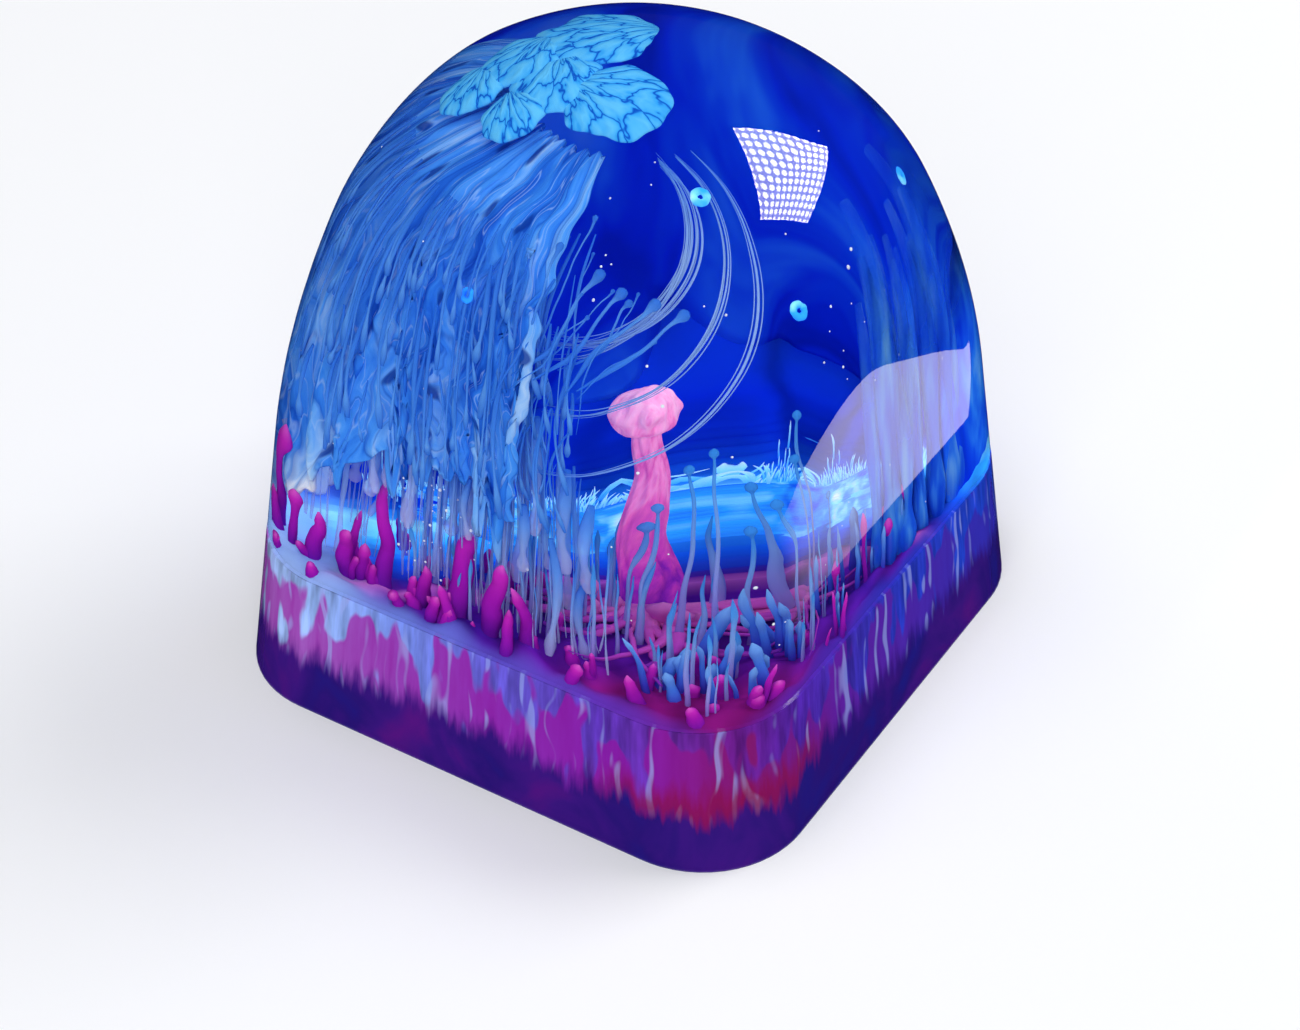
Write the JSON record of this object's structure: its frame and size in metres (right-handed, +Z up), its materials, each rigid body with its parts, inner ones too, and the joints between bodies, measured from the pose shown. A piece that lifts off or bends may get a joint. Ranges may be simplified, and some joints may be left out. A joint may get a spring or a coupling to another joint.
{
  "type": "artisan keycap",
  "caption": "Square-based domed keycap of clear resin over a coloured floor, with ink blooms inside and a post with a cross socket in its hollow underside.",
  "frame": {"origin": "centre of the skirt's lower edge, in the plane that the cap stands on", "axes": "+Z up along the switch post, -Y towards the typist, +X to the typist's right"},
  "size_m": [0.018, 0.018, 0.0189],
  "materials": {
    "violet_resin": "polished",
    "clear_resin": "polished",
    "blue_ink": "gloss",
    "turquoise_ink": "gloss",
    "pale_ink": "gloss",
    "pink_ink": "gloss",
    "magenta_ink": "gloss"
  },
  "bodies": {
    "root": {"base_pour": "violet_resin", "clear_dome": "clear_resin", "blue_backing": "blue_ink", "turquoise_swirl": "turquoise_ink", "pale_veil": "pale_ink", "cap_blooms": "turquoise_ink", "pink_stalk": "pink_ink", "magenta_fronds": "magenta_ink", "blue_plumes": "blue_ink", "ball_threads": "pale_ink"}
  },
  "joints": []
}
